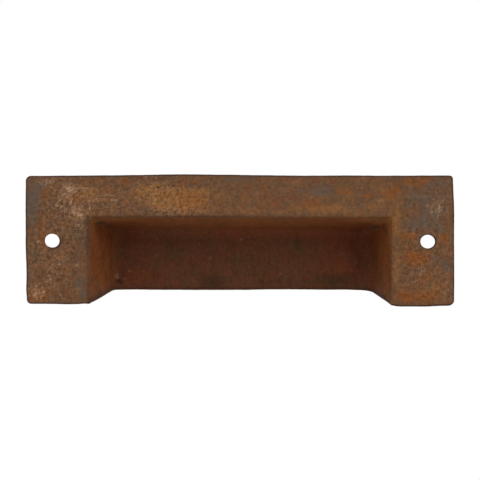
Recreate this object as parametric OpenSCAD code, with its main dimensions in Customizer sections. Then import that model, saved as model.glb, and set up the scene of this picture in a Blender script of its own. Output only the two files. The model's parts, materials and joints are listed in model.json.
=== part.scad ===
// Cup pull for a drawer, cast in one piece: a flat flange and a drafted cup that is open underneath.
// X runs along the width, Z is up and the cup stands out towards -Y.
// The back face lies on Y = 0, and the origin is midway between the two screw holes.

/* [Screw holes] */
// Distance between the centres of the two screw holes
hole_spacing = 128; // [96:1:160]
// Diameter of each screw hole
hole_d = 5.2; // [4:0.1:6]

/* [Flange] */
// Distance from each screw hole to the end of the flange
end_margin = 9; // [6:0.5:14]
// Distance from each screw hole to the mouth of the hollow
ear_margin = 12.5; // [11:0.5:20]
// Height of the band above the hollow
top_band = 14; // [9:0.5:22]
// Height of the hollow's mouth, from its top edge to the bottom of the flange
mouth_h = 30; // [24:0.5:40]
// Thickness of the flange
flange_t = 3.2; // [2.4:0.1:5]
// Radius of the flange's four corners
corner_r = 1.2; // [0.9:0.1:4]
// Rounding of the flange's cast edges, at its rim and at the mouth of the hollow
edge_r = 0.6; // [0.2:0.1:0.8]

/* [Cup] */
// Depth of the hollow, from the back face to the inside of the front wall
hollow_depth = 22.5; // [16:0.5:30]
// Thickness of the cup's walls
wall_t = 3; // [2:0.1:4]
// Draft of the two side walls, in degrees
side_draft = 15; // [4:0.5:20]
// Draft of the top wall and of the cup's bottom edge, in degrees
end_draft = 11; // [3:0.5:14]
// Radius at which the hollow's walls run into the front wall
hollow_fillet = 4; // [2:0.5:6]
// Radius of the hollow's upper corners at its mouth
mouth_corner_r = 1.2; // [0.6:0.1:2]
// Rounding of the cup's outer edges
outer_r = 3; // [2:0.5:5]
// Rounding of the outer edge of the lip, where the fingers pull
lip_r = 1.5; // [0.5:0.1:1.8]
// Fillet where the cup stands on the flange
base_fillet = 2; // [1:0.1:3]

/* [Hidden] */
$fn = 64;
// Steps in a quarter circle of a cast edge or fillet
arc_steps = 8;
// Smallest radius left where a corner runs out
least_r = 0.2;
// How far a cutting shape runs past the face it cuts
overrun = 2;
mouth_w = hole_spacing - 2 * ear_margin;
flange_w = hole_spacing + 2 * end_margin;
flange_h = top_band + mouth_h;
flange_top = flange_h / 2;
flange_bottom = -flange_h / 2;
mouth_top = flange_top - top_band;
front = hollow_depth + wall_t;
// Each outer wall lies one wall thickness off its inner wall
side_offset = wall_t / cos(side_draft);
top_offset = wall_t / cos(end_draft);

// How far a quarter-round edge of radius r has drawn in at distance e from the face it ends on.
function round_inset(e, r) = e >= r ? 0 : r - sqrt(r * r - pow(r - max(e, 0), 2));

// Distances from that face, close together where the edge turns most, from the face to the end of the round.
function round_steps(r) = [for (i = [0:arc_steps]) r * (1 - cos(90 * i / arc_steps))];

function reversed(list) = [for (i = [len(list) - 1:-1:0]) list[i]];

// One corner of a section as a quarter circle about (x, z), from angle start.
function corner_arc(x, z, r, start) =
    [for (i = [0:arc_steps]) let (a = start + 90 * i / arc_steps) [x + r * cos(a), z + r * sin(a)]];

// A section at depth d behind the back face: a rectangle with its own radius at the upper and lower corners.
function section(d, half_w, top, bottom, r_top, r_low) = [
    for (p = concat(
        corner_arc(half_w - r_top, top - r_top, r_top, 0),
        corner_arc(r_top - half_w, top - r_top, r_top, 90),
        corner_arc(r_low - half_w, bottom + r_low, r_low, 180),
        corner_arc(half_w - r_low, bottom + r_low, r_low, 270)
    )) [p[0], -d, p[1]]
];

// The flange's section: its outline, drawn in at the rounded edges of both faces.
function flange_section(d) =
    let (inset = round_inset(d, edge_r) + round_inset(flange_t - d, edge_r), r = corner_r - inset)
    section(d, flange_w / 2 - inset, flange_top - inset, flange_bottom + inset, r, r);

// The cup's outer section: drafted walls, flared at the flange and drawn in at the front and the lip.
function cup_section(d) =
    let (
        flare = round_inset(d - flange_t, base_fillet),
        inset = round_inset(front - d, outer_r),
        lip = round_inset(front - d, lip_r)
    )
    section(
        d,
        mouth_w / 2 + side_offset - d * tan(side_draft) + flare - inset,
        mouth_top + top_offset - d * tan(end_draft) + flare - inset,
        flange_bottom + d * tan(end_draft) + lip,
        max(outer_r + flare - inset, least_r),
        least_r
    );

// The hollow's section: eased at the mouth, drafted, filleted into the front wall and open underneath.
function hollow_section(d) =
    let (
        depth = max(d, 0),
        ease = round_inset(depth, edge_r),
        inset = round_inset(hollow_depth - depth, hollow_fillet),
        r = mouth_corner_r + (hollow_fillet - mouth_corner_r) * depth / hollow_depth
    )
    section(
        d,
        mouth_w / 2 - depth * tan(side_draft) + ease - inset,
        mouth_top - depth * tan(end_draft) + ease - inset,
        flange_bottom - overrun,
        max(r + ease - inset, least_r),
        least_r
    );

// A solid skinned over sections that follow each other from the back to the front.
module loft(sections) {
    n = len(sections[0]);
    last = (len(sections) - 1) * n;
    polyhedron(
        points = [for (s = sections) for (p = s) p],
        faces = concat(
            [[for (i = [0:n - 1]) i]],
            [
                for (k = [0:len(sections) - 2])
                    for (i = [0:n - 1])
                        let (j = (i + 1) % n)
                        [k * n + i, k * n + n + i, k * n + n + j, k * n + j]
            ],
            [[for (i = [n - 1:-1:0]) last + i]]
        )
    );
}

// The flat plate that is screwed to the drawer.
module flange() {
    steps = round_steps(edge_r);
    loft([for (d = concat(steps, [for (e = reversed(steps)) flange_t - e])) flange_section(d)]);
}

// The cup before it is hollowed, set into the flange by half the flange's thickness.
module cup() {
    base = [for (e = round_steps(base_fillet)) flange_t + e];
    nose = [for (e = reversed(round_steps(outer_r))) front - e];
    loft([for (d = concat([flange_t / 2], base, nose)) cup_section(d)]);
}

// The space for the fingers, running out behind the back face and below the flange.
module hollow() {
    floor_steps = [for (e = reversed(round_steps(hollow_fillet))) hollow_depth - e];
    loft([for (d = concat([-overrun], round_steps(edge_r), floor_steps)) hollow_section(d)]);
}

// One hole in each ear of the flange.
module screw_holes() {
    for (side = [-1, 1])
        translate([side * hole_spacing / 2, overrun, 0])
            rotate([90, 0, 0])
                cylinder(h = flange_t + 2 * overrun, d = hole_d);
}

module cup_pull() {
    color("saddlebrown")
        difference() {
            union() {
                flange();
                cup();
            }
            hollow();
            screw_holes();
        }
}

cup_pull();
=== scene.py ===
import json
import math

import bpy
import numpy as np
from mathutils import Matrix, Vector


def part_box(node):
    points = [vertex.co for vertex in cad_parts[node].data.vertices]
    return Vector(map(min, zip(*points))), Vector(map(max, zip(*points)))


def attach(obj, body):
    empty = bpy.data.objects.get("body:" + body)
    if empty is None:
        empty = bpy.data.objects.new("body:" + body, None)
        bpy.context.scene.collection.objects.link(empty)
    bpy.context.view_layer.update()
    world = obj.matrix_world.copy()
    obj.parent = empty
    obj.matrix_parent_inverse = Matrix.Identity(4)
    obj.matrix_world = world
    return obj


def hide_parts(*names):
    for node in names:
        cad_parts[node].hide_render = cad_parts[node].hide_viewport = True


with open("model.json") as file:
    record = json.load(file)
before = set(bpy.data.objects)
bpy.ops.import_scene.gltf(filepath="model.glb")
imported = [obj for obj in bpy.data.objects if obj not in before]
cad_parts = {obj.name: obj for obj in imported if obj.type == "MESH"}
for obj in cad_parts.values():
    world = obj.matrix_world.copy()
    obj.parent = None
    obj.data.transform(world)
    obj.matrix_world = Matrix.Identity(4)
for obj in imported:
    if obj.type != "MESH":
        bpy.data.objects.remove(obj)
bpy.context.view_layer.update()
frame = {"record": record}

# Sizes of the casting in millimetres, from the frame where it has them, or as in the CAD model
MM = 0.001
low, high = (np.array(corner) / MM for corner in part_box("cup_pull"))
HALF_W, TOP, BOTTOM, FRONT = high[0], high[2], low[2], -low[1]
mounts = {mount["name"]: mount["dims"] for mount in frame["record"]["mounts"]}
HOLE_X = mounts["screw_holes"]["spacing_x_mm"] / 2
HOLE_R = mounts["screw_holes"]["hole_r_mm"]
EAR_MARGIN = 12.5
TOP_BAND = 14.0
MOUTH_HALF = HOLE_X - EAR_MARGIN
MOUTH_TOP = TOP - TOP_BAND
PLATE = 3.2
WALL = 3.0
HOLLOW_DEPTH = FRONT - WALL
EDGE_R = 0.6
HOLE_EDGE_R = 0.3
BASE_FILLET = 2.0
OUTER_R = 3.0
LIP_R = 1.5

# The pattern was worked by hand, so its drafts, the roundings at the mouth and the floor of its hollow,
# and its corners differ a little by side. A corner goes by the signs of its x and z
DRAFT = {"minus": math.radians(15), "plus": math.radians(17.5), "top": math.radians(11)}
MOUTH_R = {"minus": 0.5, "plus": 1.2, "top": 0.8}
FILLET = {"minus": 6.0, "plus": 3.0, "top": 4.0}
CORNER_R = {(-1, -1): 1.9, (-1, 1): 1.2, (1, -1): 1.6, (1, 1): 1.9}

# Widths over which a side wall and the top wall run together, at the flange and at full depth
HOLLOW_BLEND = (5, 15)
CUP_BLEND = (11, 11)

# Past this share of the depth, the foot of a face leans with the draft
FOOT_TURN = 0.1

# Steps of the mesh over a rim, an ear round its screw hole, the rest of the ear, a wall, the floor, the
# top band and the fall from the roof to the lip, and over each arc in a wall's section
RIM_STEPS, EAR_STEPS, EAR_INNER_STEPS = 6, 24, 10
WALL_STEPS, FLOOR_STEPS, BAND_STEPS, FALL_STEPS = 44, 170, 24, 46
ARC_STEPS = 24
# Lines lie closer over the first RIM_ZONE from a rim, and past FALL_SHARE of the fall
RIM_ZONE = 1.7
FALL_SHARE = 0.93
# Rings fill a square round each screw hole. It reaches HOLE_ZONE from the centre of the hole, and
# HOLE_ZONE_TOP upwards, and the rings lie closer towards the hole
HOLE_ZONE = 5.4
HOLE_ZONE_TOP = 6.5
HOLE_RINGS = 8
RING_POWER = 0.8


def smooth(lo, hi, value):
    """0 up to lo and 1 from hi on, with the S-shaped cubic 3t^2 - 2t^3 between them.

    With hi below lo it falls from 1 to 0 as the value grows.
    """
    t = np.clip((value - lo) / (hi - lo), 0, 1)
    return t * t * (3 - 2 * t)


def hump(value, middle, width):
    """A soft hump, exp(-((value - middle) / width)^2): 1 at its middle, about a third one width away."""
    return np.exp(-((value - middle) / width) ** 2)


def noise(points, size, seed):
    """Lattice noise from -1 to 1 whose bumps are about size millimetres wide.

    The lattice is turned so that no row of it lines up with an edge of the casting. Each lattice point has
    a repeatable number from a whole-number hash, and the eight numbers round a point are mixed along the
    lattice with the curve 6t^5 - 15t^4 + 10t^3.
    """
    turn = np.array([[0.80, 0.36, -0.48], [0.0, 0.80, 0.60], [0.60, -0.48, 0.64]])
    p = points @ turn / size + 0.37 * seed
    cell = np.floor(p).astype(np.int64)
    t = p - cell
    t = t * t * t * (t * (6 * t - 15) + 10)
    total = np.zeros(len(p))
    for corner in np.ndindex(2, 2, 2):
        i = cell + corner
        h = (i[:, 0] * 73856093) ^ (i[:, 1] * 19349663) ^ (i[:, 2] * 83492791) ^ (seed * 7919)
        h = ((h & 0xFFFFFFFF) ^ ((h & 0xFFFFFFFF) >> 15)) * 0x2C1B3C6D & 0xFFFFFFFF
        h = (h ^ (h >> 12)) * 0x297A2D39 & 0xFFFFFFFF
        h ^= h >> 15
        total += np.where(corner, t, 1 - t).prod(1) * (h / 0x7FFFFFFF - 1)
    return total


def layers(points, rows, seed=0):
    """The sum of several noises, each given by its height, the size of its bumps and its first seed."""
    return sum(height * noise(points, size, first + seed) for height, size, first in rows)


# Shape


def drafted_wall(line, flat, deep, draft, first_r, last_r):
    """Section of a drafted wall as two rows, the distance s inwards from the mouth and the depth d.

    A flat at depth flat turns through an arc of radius first_r into the straight wall
    s = line + d * tan(draft), which turns through an arc of radius last_r into a flat at depth deep.
    """
    turn = math.pi / 2 - draft
    reach = math.tan(turn / 2)
    phi = np.linspace(0, turn, ARC_STEPS + 1)
    s0 = line + flat * math.tan(draft) - first_r * reach
    s1 = line + deep * math.tan(draft) + last_r * reach
    first = [s0 + first_r * np.sin(phi), flat + first_r * (1 - np.cos(phi))]
    last = [s1 - last_r * np.sin(phi), deep - last_r * (1 - np.cos(phi))]
    return np.concatenate([first, np.flip(last, 1)], 1)


def evenly(curve, count):
    """count points along a two-row polyline, evenly spaced by its length."""
    along = np.concatenate([[0], np.cumsum(np.hypot(*np.diff(curve)))])
    marks = np.linspace(0, along[-1], count)
    return np.stack([np.interp(marks, along, row) for row in curve])


def lines_from_rim(start, end, steps):
    """Grid lines from a rim towards end, without end itself, with close lines over the first RIM_ZONE."""
    near = np.linspace(start, start - RIM_ZONE, RIM_STEPS)
    return np.concatenate([near[:-1], np.linspace(near[-1], end, steps)[:-1]])


def soft_min(a, b, width):
    """The smaller of a and b, rounded off by a parabola where they differ by less than width."""
    overlap = np.clip(width - np.abs(a - b), 0, None)
    return np.minimum(a, b) - overlap ** 2 / (4 * width)


def round_corners(x, z, out):
    """Draws the four corners of a face in to arcs and turns their outward directions to match, in place.

    In the square of side r at a corner, a point at (px, pz) from the centre of the arc moves towards that
    centre by the factor max(px, pz) / length(px, pz), which turns squares into circles.
    """
    for (sx, sz), r in CORNER_R.items():
        px, pz = sx * x - (HALF_W - r), sz * z - (TOP - r)
        near = (px > 0) & (pz > 0)
        px, pz = px[near], pz[near]
        length = np.hypot(px, pz)
        pull = np.maximum(px, pz) / length
        x[near], z[near] = sx * (HALF_W - r + px * pull), sz * (TOP - r + pz * pull)
        out[near] = np.stack([sx * px / length, 0 * length, sz * pz / length], -1)


def skin(offset, flat, deep, first_r, last_r, foot_r, blend):
    """One face of the casting in rows from top to bottom, with the directions and radii of its edges.

    Its walls lie offset outside those of the hollow, between flats at the depths flat and deep. The
    columns lie along X and follow the section of the side walls, and the rows follow the section of the
    top wall. Over each (x, z) the depth is that of the nearer wall, with the walls run together by
    soft_min over a width that grows with depth as blend says. The lowest row follows the bottom edge,
    which rises by tan(draft) with depth. The directions point outwards along the border.
    """
    line = {k: -offset / math.cos(a) for k, a in DRAFT.items()}
    wall = {k: drafted_wall(line[k], flat, deep, a, first_r[k], last_r[k]) for k, a in DRAFT.items()}
    run = {k: evenly(w, WALL_STEPS)[0] for k, w in wall.items()}
    ear_end = HOLE_X - HOLE_ZONE

    def side_columns(key):
        ear = lines_from_rim(HALF_W - EDGE_R, ear_end, EAR_STEPS)
        inner = np.linspace(ear_end, MOUTH_HALF - run[key][0], EAR_INNER_STEPS)[:-1]
        return np.concatenate([ear, inner, MOUTH_HALF - run[key]])

    minus, plus = -side_columns("minus"), side_columns("plus")
    x = np.concatenate([minus, np.linspace(minus[-1], plus[-1], FLOOR_STEPS)[1:-1], plus[::-1]])
    band = lines_from_rim(TOP - EDGE_R, MOUTH_TOP - run["top"][0], BAND_STEPS)
    upper = np.concatenate([band, MOUTH_TOP - run["top"]])
    fall = np.concatenate([
        np.linspace(0, FALL_SHARE, FALL_STEPS)[1:],
        np.linspace(FALL_SHARE, 1, RIM_STEPS)[1:],
    ])

    def straight(key, s):
        return (s - line[key]) / math.tan(DRAFT[key])

    def depth_at(key, reach):
        return np.interp(reach, straight(key, wall[key][0]), wall[key][1])

    def side_depth(reach):
        return np.where(x < 0, depth_at("minus", reach), depth_at("plus", reach))

    s = MOUTH_HALF - np.abs(x)
    side = np.where(x < 0, straight("minus", s), straight("plus", s))
    share = (side_depth(side) - flat) / (deep - flat)
    bent = smooth(0, FOOT_TURN, share)
    radius = EDGE_R + (foot_r - EDGE_R) * share
    foot = BOTTOM + math.tan(DRAFT["top"]) * (flat + (deep - flat) * share) * bent + radius
    z = np.concatenate([
        np.repeat(upper[:, None], len(x), 1),
        upper[-1] + (foot - upper[-1]) * fall[:, None],
    ])
    x = np.repeat(x[None], len(z), 0)
    side = np.repeat(side[None], len(z), 0)
    top = straight("top", MOUTH_TOP - z)
    width = blend[0] + (blend[1] - blend[0]) * np.clip(np.minimum(side, top) / deep, 0, 1)
    reach = soft_min(side, top, width)
    lean = np.clip(0.5 + 0.5 * (top - side) / width, 0, 1)
    depth = depth_at("top", reach) * (1 - lean) + side_depth(reach) * lean

    out = np.zeros(x.shape + (3,))
    out[:, 0] = (-1, 0, 0)
    out[:, -1] = (1, 0, 0)
    out[0] = (0, 0, 1)
    out[-1] = np.stack([0 * bent, -np.sin(DRAFT["top"] * bent), -np.cos(DRAFT["top"] * bent)], -1)
    round_corners(x, z, out)
    edge = np.full(x.shape, EDGE_R)
    edge[-1] = radius
    return np.stack([x, -depth, z], -1), out, edge


def border(ids):
    """The outer ring of a grid: top row, last column, bottom row backwards, first column upwards."""
    return np.concatenate([ids[0], ids[1:, -1], ids[-1, -2::-1], ids[-2:0:-1, 0]])


def quads(ids, flip=False, skip=None):
    """The four-sided faces between neighbouring rows and columns of a grid of vertex numbers."""
    q = np.stack([ids[:-1, :-1], ids[:-1, 1:], ids[1:, 1:], ids[1:, :-1]], -1)
    q = q.reshape(-1, 4) if skip is None else q[~skip]
    return q[:, ::-1] if flip else q


def ring_quads(rings, flip=False):
    """The faces of a band whose rows are closed rings of vertex numbers."""
    return quads(np.concatenate([rings, rings[:, :1]], 1), flip)


def rounded_edge(back, front, out, back_r, front_r, arc=5, middle=4):
    """Rows of points that carry an edge from the back ring to the front ring.

    A quarter circle of back_r, in arc steps, leads out from the back face. A straight part with middle
    rows crosses the thickness, and a quarter circle of front_r leads in to the front face.
    """
    across = front - back
    across = across / np.linalg.norm(across, axis=1, keepdims=True)
    phi = np.linspace(0, math.pi / 2, arc + 1)[1:, None, None]
    back_r, front_r = (np.broadcast_to(r, len(back))[:, None] for r in (back_r, front_r))
    first = back + back_r * ((1 - np.cos(phi)) * across + np.sin(phi) * out)
    last = front + front_r * (np.sin(phi) * out - (1 - np.cos(phi)) * across)
    t = np.linspace(0, 1, middle + 2)[1:-1, None, None]
    return np.concatenate([first, first[-1] * (1 - t) + last[-1] * t, last[::-1]])


def casting():
    """The closed skin of the pull: points, four-sided faces, and how far through the wall each point is.

    That is 0 on the back face and in the hollow, 1 on the front, and between them on an edge or in a screw
    hole. The two faces meet along their rounded border. Each screw hole is cut out of both as a square,
    filled with rings that turn from the square into the circle, and lined with a bore.
    """
    back, out, back_r = skin(0, 0, HOLLOW_DEPTH, MOUTH_R, FILLET, EDGE_R, HOLLOW_BLEND)
    base, shoulder = (dict.fromkeys(DRAFT, r) for r in (BASE_FILLET, OUTER_R))
    front, _, front_r = skin(WALL, PLATE, FRONT, base, shoulder, LIP_R, CUP_BLEND)
    shape = back.shape[:2]
    ids = np.arange(shape[0] * shape[1]).reshape(shape)
    points, through, faces = [], [], []

    def add(rows, share):
        start = sum(len(p) for p in points)
        points.append(rows.reshape(-1, 3))
        through.append(np.broadcast_to(share, rows.shape[:2]).ravel())
        return start + np.arange(len(points[-1])).reshape(rows.shape[:2])

    def add_edge(rows):
        return add(rows, np.linspace(0, 1, len(rows) + 2)[1:-1, None])

    sides = [add(back, 0), add(front, 1)]
    rings = [border(side) for side in sides]
    flat = border(ids)
    rim = add_edge(rounded_edge(*(g.reshape(-1, 3)[flat] for g in (back, front, out)),
                                *(r.ravel()[flat] for r in (back_r, front_r))))
    faces.append(ring_quads(np.concatenate([rings[:1], rim, rings[1:]]), flip=True))

    skip = np.zeros((shape[0] - 1, shape[1] - 1), bool)
    for hole_x in (-HOLE_X, HOLE_X):
        c0, c1 = (np.abs(back[0, :, 0] - hole_x - reach).argmin() for reach in (-HOLE_ZONE, HOLE_ZONE))
        r0, r1 = (np.abs(back[:, c0, 2] - z).argmin() for z in (HOLE_ZONE_TOP, -HOLE_ZONE))
        skip[r0:r1, c0:c1] = True
        zone = np.s_[r0:r1 + 1, c0:c1 + 1]
        ends = []
        for k, grid in enumerate((back, front)):
            square = grid.reshape(-1, 3)[border(ids[zone])]
            spoke = square - (hole_x, square[0, 1], 0)
            reach = np.linalg.norm(spoke, axis=1, keepdims=True)
            t = np.linspace(0, 1, HOLE_RINGS + 1)[1:, None, None] ** RING_POWER
            circles = square + t * (HOLE_R + HOLE_EDGE_R - reach) * spoke / reach
            around = np.concatenate([border(sides[k][zone])[None], add(circles, k)])
            faces.append(ring_quads(around, flip=k == 1))
            ends.append((around[-1:], circles[-1]))
        inwards = (hole_x, 0, 0) - ends[0][1]
        inwards /= np.linalg.norm(inwards, axis=1, keepdims=True)
        bore = rounded_edge(ends[0][1], ends[1][1], inwards, HOLE_EDGE_R, HOLE_EDGE_R, arc=3, middle=3)
        faces.append(ring_quads(np.concatenate([ends[0][0], add_edge(bore), ends[1][0]])))

    faces += [quads(sides[0], skip=skip), quads(sides[1], flip=True, skip=skip)]
    faces, points, through = (np.concatenate(a) for a in (faces, points, through))
    used, faces = np.unique(faces, return_inverse=True)
    return points[used], faces.reshape(-1, 4), through[used]


def vertex_normals(points, faces):
    """Unit normals: each face's normal is the cross product of its diagonals, summed at its corners."""
    a, b, c, d = points[faces.T]
    normals = np.cross(c - a, d - b)
    total = np.stack([np.bincount(faces.ravel(), np.repeat(n, 4), len(points)) for n in normals.T], 1)
    return total / np.linalg.norm(total, axis=1, keepdims=True)


# Weathering and painted shade

# Where each kind lies on the back face and in the hollow, as soft ovals: x, z, reach along x and along z
# in millimetres, and amount
WEATHERING_AND_SHADE = {
    # Grey iron, rubbed bare
    "bare_iron": [
        (71, 14, 3.4, 7, 1.2), (71.4, 5, 2, 5, 0.5), (71, -12, 2.4, 4, 0.5), (55, -14.6, 2, 1.8, 0.75),
        (53.4, -19, 1.6, 2.6, 0.7), (54, -4, 2, 9, 0.35), (-27.5, 16.5, 5.5, 2.4, 0.85),
        (1, 20.5, 7, 1.2, 0.8), (-44, 13, 3, 1.6, 0.5), (-61, 6, 5.6, 2.8, 0.9),
        (-65, 9.4, 5, 2.4, 0.5), (-63, 15, 9, 5, 0.65), (-70, -9, 1.6, 2.2, 1.0), (-66, -6, 3, 3, 0.5),
        (-69, 20, 4, 2, 0.5), (-22, 20.8, 5, 0.8, 0.6), (-69, 4, 3, 6, 0.4), (66, 20, 3, 2, 0.5),
    ],
    # Yellow-brown rust
    "ochre": [
        (24, 13, 9, 4, 1.1), (30, 16.5, 6, 3, 0.9), (16, 14, 6, 3.6, 0.9), (45, 14, 8, 6, 0.4),
        (55.5, 9.4, 3, 3, 0.8), (52, 16, 4, 3, 0.6), (58, 18, 3, 2.5, 0.6), (61, -9, 6, 8, 0.25),
        (-30, 10.8, 15, 2, 0.8), (-53.2, -9, 1.7, 10, 0.7), (-53.4, 5.4, 1.8, 4, 0.7),
        (6, 15.4, 6, 2.5, 0.4), (-68, -17, 5, 4, 0.6), (66, 5, 3, 4, 0.5), (0, 10, 12, 1.6, 0.5),
        (-54, 14, 3, 4, 0.5), (-36, 16, 3, 3, 0.6), (-48, 15, 4, 5, 0.5), (-62, -12, 5, 4, 0.35),
        (-47, 6.8, 5, 1.4, 0.8), (47, 6.8, 4, 1.4, 0.6), (39, 7.2, 6, 0.8, 0.5), (-39, 7, 6, 1.2, 0.5),
        (-50.9, 2, 0.7, 7, 0.8), (50.4, 3, 0.9, 5, 0.6), (-2, 7.2, 36, 0.9, 0.42),
    ],
    # Red-brown rust
    "russet": [
        (57, 14.3, 3.6, 1.8, 1.0), (-35, 16.3, 3.4, 1.3, 0.9), (-44, 15.2, 2, 0.8, 1.0),
        (-52, 16.3, 5, 2, 0.9), (-61, 20, 6, 1.8, 0.9), (-57.5, 1.6, 3, 1.8, 1.0),
        (-69.5, 0.6, 1.8, 2.4, 1.0), (-60, -6, 6, 3.2, 1.1), (-60, -18.8, 8, 2.4, 1.1),
        (67, 0, 1.5, 3.6, 0.9), (69, -18.6, 4.5, 3, 1.1), (38.5, 20, 3.5, 2, 0.7), (17, 13, 6, 4, 0.6),
        (-3, 14, 9, 4, 0.4), (65.8, 16, 1.6, 5, 0.5), (-24, 12.5, 5, 2.4, 0.6), (-11, 13, 3, 2.5, 0.5),
        (-62, -13.5, 3, 2, 0.7),
    ],
    # Pale scrapes
    "pale": [
        (66, 20, 2.6, 1.6, 0.9), (58.6, 16.6, 3.4, 3.6, 1.3), (62, 11.6, 2.4, 2.4, 0.6),
        (48, 11.5, 7, 4, 0.3), (29, 16.5, 7, 4, 0.6), (69.5, -18.5, 3.6, 3, 1.1),
        (56, -17.4, 1.4, 1.4, 0.7), (-67, 11, 3, 3.2, 0.8), (-61, -12, 3, 4, 0.4),
        (22, 10, 8, 2.5, 0.5), (55.5, 9.4, 4, 3.4, 0.9), (62, -9, 3.4, 6, 0.4), (51.5, 16, 4, 3, 0.25),
        (-70, -15, 2, 5, 0.3), (55.4, -9, 1.4, 2.4, 0.5), (64.6, -13.4, 2, 2.4, 0.55),
        (70, -2.4, 3, 5, 0.4), (55.4, 5.2, 2, 2, 0.5),
    ],
    # Long scratches
    "scratched": [
        (45, 13.3, 6, 2.2, 0.8), (30, 12, 9, 3, 0.25), (52, 18, 5, 2, 0.4), (-20, 15, 26, 5, 0.08),
    ],
    # Dark pits
    "pits": [
        (27, 17, 7, 3.6, 1.0), (24, 9.0, 9, 1.0, 1.0), (60.5, 12, 3, 4, 0.8), (46, 11, 4, 3, 0.5),
        (-60, -12, 4, 5, 0.4), (62, -16, 8, 5, 0.3),
    ],
    # How strongly the grain shows
    "worn": [
        (62, 4, 13, 18, 0.8), (66, -17, 9, 6, 0.5), (28, 14, 22, 9, 0.55), (-63, 0, 10, 26, 0.6),
        (0, 0, 400, 400, 0.45),
    ],
    # Redder rust in the hollow, a dark olive brown low in it, and nearly black painted shade in its corners
    "ruddy": [
        (-40, 0, 14, 9, 0.8), (-36, -11, 11, 5, 0.6), (38, 1, 9, 7, 0.8), (37, -13, 8, 4, 0.8),
        (47.6, 1, 2.4, 7, 0.5), (-10, 2.4, 34, 2.6, 0.75),
    ],
    # A dark olive brown low in the hollow, near the lip
    "low_olive": [
        (-34, -14.5, 10, 3.6, 0.9), (10, -14.6, 6, 3.6, 0.9), (-12, -15, 14, 2, 0.5),
        (30, -14, 6, 3, 0.4),
    ],
    # Painted shade in the corners of the hollow and at the feet of its walls
    "hollow_shade": [
        (-43, -3, 6, 8.5, 0.7), (-34, 2.5, 8, 3, 0.3), (42, 3, 5, 5, 0.4), (-42, -12, 4, 7, 0.35),
        (37, 2, 4, 6, 0.35), (46.4, 4.8, 3.4, 1.4, 0.6), (-48.3, -18, 1.6, 1.6, 0.5),
        (50, -18, 1.8, 2.2, 0.45),
    ],
}
# How much of each there is on the front and the edges, where layers of noise spread it
ELSEWHERE = {
    "bare_iron": 0.7, "ochre": 0.8, "russet": 0.8, "pale": 0.25,
    "scratched": 0.35, "pits": 0.3, "worn": 0.9,
}
SPREAD = [(1.0, 17, 11), (0.5, 7, 31), (0.3, 3, 51)]
# Painted reflections: dark greenish spots in the two upper corners of the hollow, in rows of the same kind
CORNER_REFLECTIONS = [(48.2, 6.0, 2.2, 0.8, 1.2), (-47.2, 4.8, 1.9, 0.8, 1.1)]
# A blowhole low in the hollow on the +X side, three lumps of metal beside it, and pale specks
FLAW = [(42.9, -14.5, 1.2, 0.8, 1.0), (42.0, -15.2, 0.9, 0.6, 0.6)]
LUMPS = [(43.5, -13.2, 0.7, 0.6, 1.0), (43.5, -12.0, 0.7, 0.7, 0.7), (41.0, -13.6, 0.8, 0.6, 0.7)]
SPECKS = [
    (-0.4, 0.4, 0.8, 0.7, 0.8), (39, -11, 0.8, 0.7, 0.7), (34, -11, 0.7, 0.7, 0.6),
    (29.4, 0.4, 0.7, 0.7, 0.6), (29.4, -5.2, 0.7, 0.7, 0.6), (10.6, -6.3, 0.8, 0.7, 0.7),
    (-3.2, 1.1, 0.8, 0.6, 0.6), (-14, -12, 0.8, 0.7, 0.6), (-41, -7.7, 0.9, 0.6, 0.6),
    (17, -14, 0.8, 0.7, 0.5),
]

# Reach in millimetres of the dark line along the edges of the flange, and of the painted shade along the lip
# and round the mouth of the hollow, where it has a faint halo
FLANGE_LINE, LIP_SHADE, MOUTH_SHADE, MOUTH_SHADE_HALO = 0.55, 1.1, 0.6, 2.5

# Relief: layers of noise for broad swells, for the roughness of the cast face and for the scatter of pits
SWELLS = [(0.07, 15, 1), (0.04, 6, 2)]
ROUGHNESS = [(0.03, 2.4, 3), (0.02, 1.2, 4)]
PIT_SCATTER = [(1.0, 1.3, 5)]
# The share of the roughness that is smoothed away in the hollow, and heights in millimetres
HOLLOW_SMOOTHED = 0.7
PIT_DEPTH = 0.12
LUMP_HEIGHT = 0.25
FLAW_DEPTH = 0.4


def patches(points, places):
    """The sum of soft ovals, seen square onto the back: each is amount * hump along x * hump along z."""
    total = np.zeros(len(points))
    for x, z, reach_x, reach_z, amount in places:
        total += amount * hump(points[:, 0], x, reach_x) * hump(points[:, 2], z, reach_z)
    return total


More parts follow.
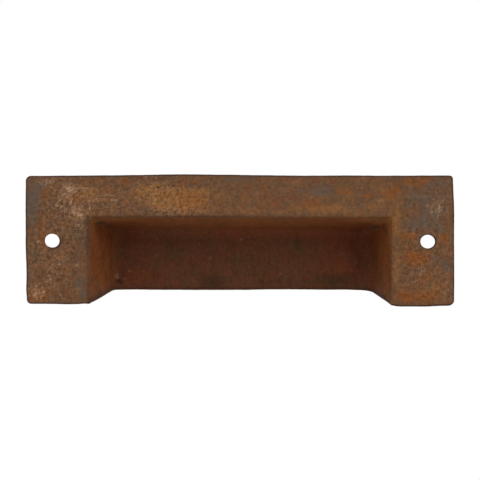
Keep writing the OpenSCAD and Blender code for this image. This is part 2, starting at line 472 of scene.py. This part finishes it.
def dark_line_and_shade(points, through, under_cup):
    """The mask of a dark line along every edge and of painted shade at the lip, the mouth and the +X hole.

    It is weaker towards the front. It is a hump of the distance to the outline, the lip or the rim of a
    screw hole, and full on the rounded edges; along the lip it is painted shade. Round the mouth of the
    hollow it is painted shade, a narrow hump on a broad one, whose strength differs by side. On the hole on
    the +X side the line is painted shade, mostly along the inner, lower part of its rim.
    """
    x, z = points[:, 0], points[:, 2]
    depth, across = -points[:, 1], np.abs(x)
    back = through == 0

    # Along the outline, narrower round the screw holes, and painted shade along the lip, wider towards its
    # ends
    foot = BOTTOM + np.where(under_cup, math.tan(DRAFT["top"]) * depth, 0)
    above_foot = np.where(under_cup | (across > MOUTH_HALF), z - foot, np.inf)
    to_outline = np.abs(np.minimum(np.minimum(HALF_W - across, TOP - z), above_foot))
    from_hole = np.hypot(across - HOLE_X, z)
    to_edge = np.minimum(to_outline, 1.6 * np.abs(from_hole - HOLE_R))
    lip_shade = LIP_SHADE + 0.8 * smooth(43, 46, across) + 0.9 * smooth(43, 46, x)
    edge_line_and_lip_shade = hump(to_edge, 0, np.where(under_cup, lip_shade, FLANGE_LINE))

    # Painted shade round the mouth, with a strength for each side and for the top
    by_side, by_top = across - MOUTH_HALF, z - MOUTH_TOP
    plus = 0.62 + 0.23 * smooth(-8, -2, z)
    minus = 0.12 + 0.08 * smooth(-8, -14, z)
    top = 0.30 + 0.25 * smooth(-15, 5, x) + 0.25 * hump(x, 14, 8)
    strength = np.where(by_side > by_top, np.where(x > 0, plus, minus), top)
    to_mouth = np.maximum(by_side - np.where(x > 0, 0.35, 0), by_top)
    mouth_shade = strength * (0.75 * hump(to_mouth, 0, MOUTH_SHADE) + 0.25 * hump(to_mouth, 0, MOUTH_SHADE_HALO))
    mouth_shade *= back & (depth < 1.2)

    # Painted shade on the rim of the +X hole, mostly on its inner, lower side
    shaded_side = smooth(-0.5, 0.6, (HOLE_X - x - z) / from_hole)
    hole_shade = np.where((x > 0) & (from_hole < 4), 0.25 + 0.75 * shaded_side, 1)
    line = np.where(back | (through == 1), np.maximum(edge_line_and_lip_shade, mouth_shade), 1)
    return line * (1 - 0.7 * through) * hole_shade


def rust_and_shade_masks(points, faces, through):
    """Masks by name that tell the material where each finish lies, from 0 to 1 or a little more.

    The floor's mask rises by smooth steps inwards from the walls and the roof of the hollow. The one for
    handling is greatest where an edge of the front faces halfway round. The weathering and painted shade lie
    in listed patches on the back, and the weathering is spread by noise elsewhere.
    """
    x, y, z = points.T
    depth, across = -y, np.abs(x)
    back, front = through == 0, through == 1
    under_cup = (across < MOUTH_HALF) & (depth > 0.5)
    inside = back | (under_cup & ~front)

    # The floor comes in over the breadth that the side walls and the roof take up, seen from the back
    inwards, down = MOUTH_HALF - across, MOUTH_TOP - z
    from_minus = 0.65 * smooth(0.9, 4.6, inwards) + 0.35 * smooth(4.6, 9, inwards)
    from_side = np.where(x > 0, smooth(3.5, 10, inwards), from_minus)
    from_roof = smooth(1, 6.4, down) * (1 - 0.25 * hump(x, -4, 22) * hump(z, 0.5, 7))

    # Hands reach the edges of the cup's front, and the front half of every other edge
    tilt = vertex_normals(points, faces)[:, 1] ** 2
    reached = np.where(front, smooth(FRONT - 4, FRONT - 2, depth), smooth(0.5, 0.9, through))

    masks = {
        "hollow": smooth(0.1, 1.8, depth) * inside * smooth(0.75, 0.3, through),
        "floor": np.minimum(from_side, from_roof) * back,
        "ear": smooth(48, 58, across),
        # The dark line along the edges, with painted shade along the lip, round the mouth and at the +X hole
        "rim": dark_line_and_shade(points, through, under_cup),
        "handled": 4 * tilt * (1 - tilt) * reached,
        "corner_reflection": patches(points, CORNER_REFLECTIONS) * (back & (depth > 2)),
    }
    for seed, (name, places) in enumerate(WEATHERING_AND_SHADE.items()):
        elsewhere = ELSEWHERE.get(name, 0) * smooth(-0.1, 0.8, layers(points, SPREAD, seed))
        masks[name] = np.clip(np.where(back, patches(points, places), elsewhere), 0, 1.2)
    masks["worn"] *= 1 - 0.5 * np.clip(masks["bare_iron"], 0, 1)
    return masks


def bends(points):
    """How far the worked pattern and the drill left each point from its true place, in millimetres.

    Each bend is a sum of humps and smooth steps along x or z. The rims of both screw holes are drawn wider
    than they are high. The hole on the -X side lies low, and the one on the +X side leans up and outwards
    from the back to the front.
    """
    x, y, z = points.T
    depth, across = -y, np.abs(x)

    # The top edge is crowned, the two feet of the flange differ, and the lip is a little uneven
    upper, lower = smooth(4, TOP, z), smooth(10, 20, -z)
    crown = 0.08 + 0.40 * hump(x, 19, 18) + 0.16 * hump(x, 0, 38) + 0.08 * smooth(45, 60, -x)
    plus_foot = 0.22 * smooth(50, 53, x) + 0.2 * hump(x, 53, 2) + 0.12 * smooth(60, 68, x)
    minus_foot = 0.5 * smooth(49.5, 56, -x) * (1 - 0.55 * smooth(62, 69, -x))
    minus_foot += 0.15 * smooth(36, 42, -x) * (depth > 2)
    lip = 0.1 * smooth(8, 22, depth) * smooth(6, 14, -z) - 0.15 * lower * hump(x, 46.5, 4)
    dz = upper * crown + lower * (plus_foot - minus_foot) + lip

    # The two ends bend, and the edge of the mouth lies further out on the -X side
    plus_end = 0.12 - 0.3 * hump(z, -11, 8) - 0.3 * smooth(-17, -20, z)
    minus_end = 0.42 * smooth(8, TOP, z) - 0.05
    mouth = 0.34 * smooth(-21, -16, z) + 0.22 * smooth(-6, 6, z)
    dx = smooth(60, HALF_W, x) * plus_end + smooth(60, HALF_W, -x) * minus_end
    dx -= mouth * hump(x, -MOUTH_HALF, 2.5)

    # The screw holes
    round_hole = smooth(5, 3, np.hypot(across - HOLE_X, z))
    low_hole = smooth(6.5, 3.2, np.hypot(x + HOLE_X, z))
    lean = np.where(x > 0, depth / PLATE, 0)
    wider = 0.025 * np.sign(x) * (across - HOLE_X) + np.where(x > 0, 0.08 * z - 0.17, 0)
    flatter = np.where(x > 0, 0.04 * z + 0.28, 0.08 * z)
    dx += (wider + 0.7 * lean) * round_hole - 0.12 * low_hole
    dz -= (flatter - 0.36 * lean) * round_hole + 0.4 * low_hole
    return np.stack([dx, 0 * dx, dz], 1)


def weathered_and_shaded(points, faces, through):
    """The casting as it left the sand and rusted: its points, and its masks of rust and painted shade.

    The masks are laid out on the true shape, which is then bent. The bent surface moves along its normals by
    broad swells, a finer cast roughness, pits, and the flaw and lumps in the hollow.
    """
    masks = rust_and_shade_masks(points, faces, through)
    in_cup = (through == 0) & (points[:, 1] < -4)
    flaw, lumps, specks = (patches(points, places) * in_cup for places in (FLAW, LUMPS, SPECKS))
    masks.update(flaw=flaw, specks=lumps + specks)
    points = points + bends(points)
    outside = 1 - masks["hollow"]
    scattered = smooth(0.35, 0.7, layers(points, PIT_SCATTER))
    relief = layers(points, SWELLS) + (1 - HOLLOW_SMOOTHED * masks["hollow"]) * layers(points, ROUGHNESS)
    relief += LUMP_HEIGHT * lumps - FLAW_DEPTH * flaw - PIT_DEPTH * masks["pits"] * scattered * outside
    return points + relief[:, None] * vertex_normals(points, faces), masks


def make_piece(name, points, faces, masks, material):
    """A smooth-shaded mesh object, in metres, whose masks are float attributes on its points."""
    mesh = bpy.data.meshes.new(name)
    mesh.from_pydata((points * MM).tolist(), [], faces.tolist())
    mesh.polygons.foreach_set("use_smooth", np.ones(len(faces), bool))
    for key, values in masks.items():
        mesh.attributes.new(key, "FLOAT", "POINT").data.foreach_set("value", values.astype(np.float32))
    mesh.materials.append(material)
    mesh.update()
    piece = bpy.data.objects.new(name, mesh)
    bpy.context.collection.objects.link(piece)
    return piece


# Materials

# Coats of rust, and of painted shade, in the order they are laid on. A row gives the mask that the coat
# follows, or None where it lies everywhere, the size of its patches in millimetres, their stretch along x, y
# and z, how ragged they are, the values lo and hi between which the coat comes in, its colour and its cover
EVEN = (1, 1, 1)
ALONG_X, FAR_ALONG_X = (3, 1, 1), (5, 1, 1)
ALONG_Z, FAR_ALONG_Z = (1, 1, 3), (1, 1, 6)
OUTSIDE_COATS = [
    (None, 6.5, EVEN, 1.0, 0.46, 0.70, "#574739", 0.75),
    (None, 4.6, EVEN, 1.0, 0.48, 0.70, "#744e35", 0.65),
    (None, 3.8, EVEN, 1.0, 0.50, 0.70, "#703e24", 0.65),
    (None, 3.2, EVEN, 1.0, 0.50, 0.70, "#665030", 0.55),
    (None, 2.6, EVEN, 1.0, 0.50, 0.70, "#7e5129", 0.55),
    (None, 2.2, EVEN, 1.0, 0.50, 0.70, "#58483d", 0.60),
    (None, 1.6, EVEN, 1.0, 0.52, 0.72, "#7e5b4a", 0.50),
    ("ear", 1.5, ALONG_Z, 1.0, 1.46, 1.72, "#7a5942", 0.50),
    ("ear", 1.6, ALONG_X, -1.0, -0.46, -0.72, "#7a5942", 0.40),
    ("ear", 1.1, FAR_ALONG_X, -1.0, -0.50, -0.72, "#5a4132", 0.45),
    ("ochre", 2.6, EVEN, 1.8, 1.05, 2.00, "#875b33", 0.85),
    ("russet", 2.4, EVEN, 1.8, 1.05, 2.00, "#7c4823", 0.85),
    ("bare_iron", 3.0, EVEN, 1.8, 1.05, 2.00, "#5b4f45", 0.85),
    ("pale", 1.8, EVEN, 1.8, 1.35, 2.20, "#94735a", 0.55),
    ("handled", 2.0, EVEN, 1.8, 1.30, 2.50, "#8b6a50", 0.75),
]
# The dark line along the outline and the screw holes, with painted shade round the mouth and at the +X hole
OUTSIDE_EDGE_AND_SHADE = [("rim", 1.2, EVEN, 0.4, 0.30, 1.30, "#3a2b25", 0.85)]
HOLLOW_COATS = [
    ("floor", 4.0, EVEN, 0.3, 0.15, 1.15, "#533220", 1.00),
    (None, 5.0, EVEN, 1.0, 0.46, 0.72, "#463619", 0.66),
    (None, 3.6, EVEN, 1.0, 0.48, 0.72, "#622a17", 0.55),
    (None, 2.2, EVEN, 1.0, 0.50, 0.70, "#42251f", 0.50),
    ("ruddy", 6.0, EVEN, 0.8, 0.40, 1.60, "#652a14", 0.55),
    (None, 1.5, FAR_ALONG_Z, 1.0, 0.50, 0.72, "#3c2112", 0.35),
    (None, 0.8, EVEN, 1.0, 0.67, 0.74, "#8d6b50", 0.60),
    ("ochre", 2.0, EVEN, 0.5, 0.45, 1.45, "#8a5a34", 0.70),
    # Painted shade, nearly black, in the corners of the hollow and at the feet of its walls
    ("hollow_shade", 3.0, EVEN, 1.2, 0.70, 1.80, "#33170c", 0.75),
    # A dark olive brown low in the hollow
    ("low_olive", 3.0, EVEN, 1.2, 0.70, 1.80, "#2f2214", 0.70),
    # Painted reflections, dark and greenish, in the two upper corners of the hollow
    ("corner_reflection", 1.6, EVEN, 1.6, 1.00, 2.10, "#23261f", 0.75),
    ("flaw", 1.0, EVEN, 0.8, 0.60, 1.40, "#2a150d", 0.60),
    ("specks", 0.8, EVEN, 0.6, 0.50, 1.20, "#7d5a42", 0.65),
    # Painted shade along the lip and round the mouth of the hollow
    ("rim", 1.2, EVEN, 0.4, 0.30, 1.30, "#26170e", 0.75),
]
# Each coat reads its noise this much further along than the one before it, so that their patches differ
COAT_SHIFT = (7.3, 1.9, 3.1)
OUTSIDE_BASE, HOLLOW_BASE = "#664730", "#724121"
# Colours of the pale scrapes, of the painted shadow in the gaps between them, and of the pits
SCRAPED, SCRAPE_SHADOW, PITTED = "#b8977d", "#4c3020", "#2e2119"
# Scrapes and scratches: the mask that they follow, their turn in degrees, length and width in millimetres
SCRAPES = [("pale", 32, 1.7, 0.7), ("pale", 75, 1.3, 0.7), ("scratched", 8, 6.0, 0.5)]
# Size of the crusts, spacing of the pits and height of the grain in millimetres
CRUST_SIZE, PIT_SPACING, GRAIN_HEIGHT = 1.3, 1.5, 0.12
# How far the grain lightens and darkens the rust at most, and the share of that in the hollow
GRAIN_SHADE, HOLLOW_GRAIN = 1.05, 0.33
# Roughness of the matt outside, low and high on its grain, of what hands rub, and of the satin hollow
MATT_LOW, MATT_HIGH, RUBBED, SATIN = 0.86, 0.70, 0.55, 0.58


def linear(hex_colour):
    """An sRGB hex colour as linear red, green, blue and an alpha of 1."""
    c = np.array([int(hex_colour[k:k + 2], 16) for k in (1, 3, 5)]) / 255
    return (*np.where(c <= 0.04045, c / 12.92, ((c + 0.055) / 1.055) ** 2.4).tolist(), 1.0)


def node(tree, kind, inputs=None, out=0, **settings):
    """Adds a node with its settings, fills or links its inputs by name or number, and returns one output."""
    made = tree.nodes.new(kind)
    for key, value in settings.items():
        setattr(made, key, value)
    for key, value in (inputs or {}).items():
        if isinstance(value, bpy.types.NodeSocket):
            tree.links.new(value, made.inputs[key])
        else:
            made.inputs[key].default_value = value
    return made.outputs[out] if made.outputs else None


def empty_tree(data):
    """The node tree of a material or world, switched on and cleared."""
    data.use_nodes = True
    data.node_tree.nodes.clear()
    return data.node_tree


def laid_over(tree, mm, masks, colour, coats):
    """Lays coats of rust and of painted shade over a colour in order, each in ragged patches.

    A coat shows where noise * ragged + mask passes from lo to hi, as far as its cover. The noise has
    patches of size millimetres, drawn out by stretch along x, y and z.
    """
    for number, (name, size, stretch, ragged, lo, hi, tint, cover) in enumerate(coats):
        mask = masks[name] if name else 0.0
        place = node(tree, "ShaderNodeVectorMath", {
            0: mm, 1: [1 / (size * s) for s in stretch], 2: [step * number for step in COAT_SHIFT]},
            operation="MULTIPLY_ADD")
        grain = node(tree, "ShaderNodeTexNoise", {
            "Vector": place, "Scale": 1.0, "Detail": 6.0, "Roughness": 0.66, "Distortion": 0.25})
        where = node(tree, "ShaderNodeMath", {0: grain, 1: ragged, 2: mask}, operation="MULTIPLY_ADD")
        shown = node(tree, "ShaderNodeMapRange", {0: where, 1: lo, 2: hi, 3: 0.0, 4: cover},
                     interpolation_type="SMOOTHSTEP")
        colour = node(tree, "ShaderNodeMix", {0: shown, 6: colour, 7: linear(tint)}, 2, data_type="RGBA")
    return colour


def outside_rust_and_shade(tree, mm, masks, crust, lighter):
    """The colour of the matt, mottled outside and the height of its grain, scrapes and pits.

    The colour has painted shade round the mouth, on the rim of the +X hole and in the gaps between scrapes.
    """
    shade = node(tree, "ShaderNodeMath", {0: lighter, 1: masks["worn"], 2: 1.0}, operation="MULTIPLY_ADD")
    colour = laid_over(tree, mm, masks, linear(OUTSIDE_BASE), OUTSIDE_COATS)
    colour = node(tree, "ShaderNodeMix", {0: 1.0, 6: colour, 7: shade}, 2,
                  data_type="RGBA", blend_type="MULTIPLY")

    # Scrapes are pale dashes with painted shadow in the dark gaps between them, turned askew
    height = crust
    for name, turn, long, wide in SCRAPES:
        askew = node(tree, "ShaderNodeMapping", {
            "Vector": mm, "Rotation": (0, math.radians(turn), 0), "Scale": (long, wide, wide)},
            vector_type="TEXTURE")
        dash = node(tree, "ShaderNodeTexNoise", {
            "Vector": askew, "Scale": 1.0, "Detail": 3.0, "Distortion": 1.0})
        scrape_shadow = node(tree, "ShaderNodeMapRange", {0: dash, 1: 0.43, 2: 0.30, 3: 0.0, 4: 0.5})
        scrape_shadow = node(tree, "ShaderNodeMath", {0: scrape_shadow, 1: masks[name]}, operation="MULTIPLY")
        colour = node(tree, "ShaderNodeMix", {0: scrape_shadow, 6: colour, 7: linear(SCRAPE_SHADOW)}, 2, data_type="RGBA")
        dashes = node(tree, "ShaderNodeMapRange", {0: dash, 1: 0.57, 2: 0.72})
        dashes = node(tree, "ShaderNodeMath", {0: dashes, 1: masks[name]}, operation="MULTIPLY")
        colour = node(tree, "ShaderNodeMix", {0: dashes, 6: colour, 7: linear(SCRAPED)}, 2, data_type="RGBA")
        height = node(tree, "ShaderNodeMath", {0: dashes, 1: 0.5, 2: height}, operation="MULTIPLY_ADD")

    # Pits are spots round scattered points, from a fifth to a third of their spacing in radius
    spots = node(tree, "ShaderNodeTexVoronoi", {"Vector": mm, "Scale": 1 / PIT_SPACING}, "Distance")
    spots = node(tree, "ShaderNodeMapRange", {0: spots, 1: 0.2, 2: 0.34, 3: 0.9, 4: 0.0})
    pits = node(tree, "ShaderNodeMath", {0: spots, 1: masks["pits"]}, operation="MULTIPLY")
    colour = node(tree, "ShaderNodeMix", {0: pits, 6: colour, 7: linear(PITTED)}, 2, data_type="RGBA")
    height = node(tree, "ShaderNodeMath", {0: height, 1: pits}, operation="SUBTRACT")
    return laid_over(tree, mm, masks, colour, OUTSIDE_EDGE_AND_SHADE), height


def hollow_rust_and_shade(tree, mm, masks, lighter):
    """The colour of the even, darker and redder rust inside the cup, with a fainter grain.

    It has painted shade in the corners, along the lip and round the mouth, and painted reflections in the
    two upper corners.
    """
    colour = laid_over(tree, mm, masks, linear(HOLLOW_BASE), HOLLOW_COATS)
    shade = node(tree, "ShaderNodeMath", {0: lighter, 1: HOLLOW_GRAIN, 2: 1.0}, operation="MULTIPLY_ADD")
    return node(tree, "ShaderNodeMix", {0: 1.0, 6: colour, 7: shade}, 2,
                data_type="RGBA", blend_type="MULTIPLY")


def rusted_iron(mask_names):
    """Sand-cast iron left to rust brown and sealed.

    The outside is matt and mottled: brown rust with ochre, russet and bare grey patches, pale scrapes and
    dark pits, rubbed paler along the front edges. Inside the cup the rust is even, darker and redder, with
    a satin face.
    """
    material = bpy.data.materials.new("rusted_cast_iron")
    tree = empty_tree(material)
    place = node(tree, "ShaderNodeTexCoord", out="Object")
    mm = node(tree, "ShaderNodeVectorMath", {0: place, 1: (1 / MM,) * 3}, operation="MULTIPLY")
    masks = {k: node(tree, "ShaderNodeAttribute", out="Fac", attribute_name=k) for k in mask_names}

    # Grain of the sand mould and of the rust: crusts with finer and finer grains in them
    crust = node(tree, "ShaderNodeTexNoise", {
        "Vector": mm, "Scale": 1 / CRUST_SIZE, "Detail": 6.0, "Roughness": 0.85})
    lighter = node(tree, "ShaderNodeMapRange", {0: crust, 1: 0.25, 2: 0.75, 3: -GRAIN_SHADE, 4: GRAIN_SHADE})
    outside, height = outside_rust_and_shade(tree, mm, masks, crust, lighter)
    inside = hollow_rust_and_shade(tree, mm, masks, lighter)
    colour = node(tree, "ShaderNodeMix", {0: masks["hollow"], 6: outside, 7: inside}, 2, data_type="RGBA")

    # Matt outside, smoother where it is handled, and satin in the hollow
    rough = node(tree, "ShaderNodeMapRange", {0: crust, 1: 0.3, 2: 0.7, 3: MATT_LOW, 4: MATT_HIGH})
    rough = node(tree, "ShaderNodeMix", {0: masks["handled"], 2: rough, 3: RUBBED}, data_type="FLOAT")
    rough = node(tree, "ShaderNodeMix", {0: masks["hollow"], 2: rough, 3: SATIN}, data_type="FLOAT")
    grain = node(tree, "ShaderNodeBump", {"Strength": 0.4, "Distance": GRAIN_HEIGHT * MM, "Height": height})
    shader = node(tree, "ShaderNodeBsdfPrincipled", {
        "Base Color": colour, "Roughness": rough, "Specular IOR Level": 0.05, "Normal": grain})
    node(tree, "ShaderNodeOutputMaterial", {"Surface": shader})
    return material


# The pull

points, faces, through = casting()
points, masks = weathered_and_shaded(points, faces, through)
pull = make_piece("cup_pull_casting", points, faces, masks, rusted_iron(masks))
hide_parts("cup_pull")
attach(pull, "root")

# Stage

# Strength of the soft light from all round
WORLD_LIGHT = 0.58
# The pull hangs on its screws in use, so the floor lies clear below it
FLOOR_HALF = 4000
FLOOR_DROP = 100
# The paper shows half its shadow within SHADOW_NEAR metres of the pull's middle, and none past SHADOW_FAR
SHADOW_NEAR, SHADOW_FAR = 0.12, 0.32
# The camera looks square onto the back face, of which 480 pixels span FRAME_W millimetres
FRAME_W = 163.6
CAMERA_Y = 600
CAMERA_Z = 0.15
SENSOR_W = 36.0
# Soft boxes: place in metres, power in watts, size in metres
SOFT_BOXES = [
    ("key", (-0.5, 0.95, 0.7), 6.0, 0.7),
    ("fill", (0.8, 0.7, 0.25), 1.8, 0.8),
    ("front_key", (-0.5, -0.9, 0.8), 6.0, 0.7),
]


def white_to_the_eye(tree, lit, share):
    """Mixes share of plain white into lit, for the rays that should see a white backdrop."""
    rays = ("Is Camera Ray", "Is Glossy Ray", "Is Transmission Ray")
    seen = [node(tree, "ShaderNodeLightPath", out=ray) for ray in rays]
    either = node(tree, "ShaderNodeMath", {0: seen[0], 1: seen[1]}, operation="MAXIMUM")
    either = node(tree, "ShaderNodeMath", {0: either, 1: seen[2]}, operation="MAXIMUM")
    part = node(tree, "ShaderNodeMath", {0: either, 1: share}, operation="MULTIPLY")
    white = node(tree, "ShaderNodeEmission", {"Color": (1, 1, 1, 1), "Strength": 1.0})
    return node(tree, "ShaderNodeMixShader", {0: part, 1: lit, 2: white})


def white_paper():
    """Matt paper that keeps a soft shadow near the pull and turns plain white further off.

    It is clear from below, so that the open underside can be looked at.
    """
    material = bpy.data.materials.new("white_paper")
    tree = empty_tree(material)
    place = node(tree, "ShaderNodeTexCoord", out="Object")
    away = node(tree, "ShaderNodeVectorMath", {0: place}, "Value", operation="LENGTH")
    whiter = node(tree, "ShaderNodeMapRange", {0: away, 1: SHADOW_NEAR, 2: SHADOW_FAR, 3: 0.5, 4: 1.0},
                  interpolation_type="SMOOTHSTEP")
    matt = node(tree, "ShaderNodeBsdfDiffuse", {"Color": linear("#dededc")})
    below = node(tree, "ShaderNodeNewGeometry", out="Backfacing")
    clear = node(tree, "ShaderNodeBsdfTransparent")
    sheet = node(tree, "ShaderNodeMixShader", {0: below, 1: white_to_the_eye(tree, matt, whiter), 2: clear})
    node(tree, "ShaderNodeOutputMaterial", {"Surface": sheet})
    return material


bpy.context.scene.world = bpy.data.worlds.new("studio")
tree = empty_tree(bpy.context.scene.world)
soft = node(tree, "ShaderNodeBackground", {"Color": (1, 1, 1, 1), "Strength": WORLD_LIGHT})
node(tree, "ShaderNodeOutputWorld", {"Surface": white_to_the_eye(tree, soft, 1.0)})

square = np.array([(-1, -1, 0), (1, -1, 0), (1, 1, 0), (-1, 1, 0)])
corners = FLOOR_HALF * square + (0, 0, BOTTOM - FLOOR_DROP)
floor = make_piece("floor", corners, np.array([[0, 1, 2, 3]]), {}, white_paper())

for name, place, power, size in SOFT_BOXES:
    light = bpy.data.lights.new(name, "AREA")
    light.energy = power
    light.size = size
    lamp = bpy.data.objects.new(name, light)
    lamp.location = place
    lamp.rotation_euler = (-lamp.location).to_track_quat("-Z", "Y").to_euler()
    bpy.context.collection.objects.link(lamp)

lens = bpy.data.cameras.new("camera")
lens.sensor_width = SENSOR_W
lens.lens = SENSOR_W * CAMERA_Y / FRAME_W
camera = bpy.data.objects.new("camera", lens)
camera.location = (0, CAMERA_Y * MM, CAMERA_Z * MM)
camera.rotation_euler = (math.pi / 2, 0, math.pi)
bpy.context.collection.objects.link(camera)
bpy.context.scene.camera = camera
bpy.context.scene.view_settings.view_transform = "Standard"
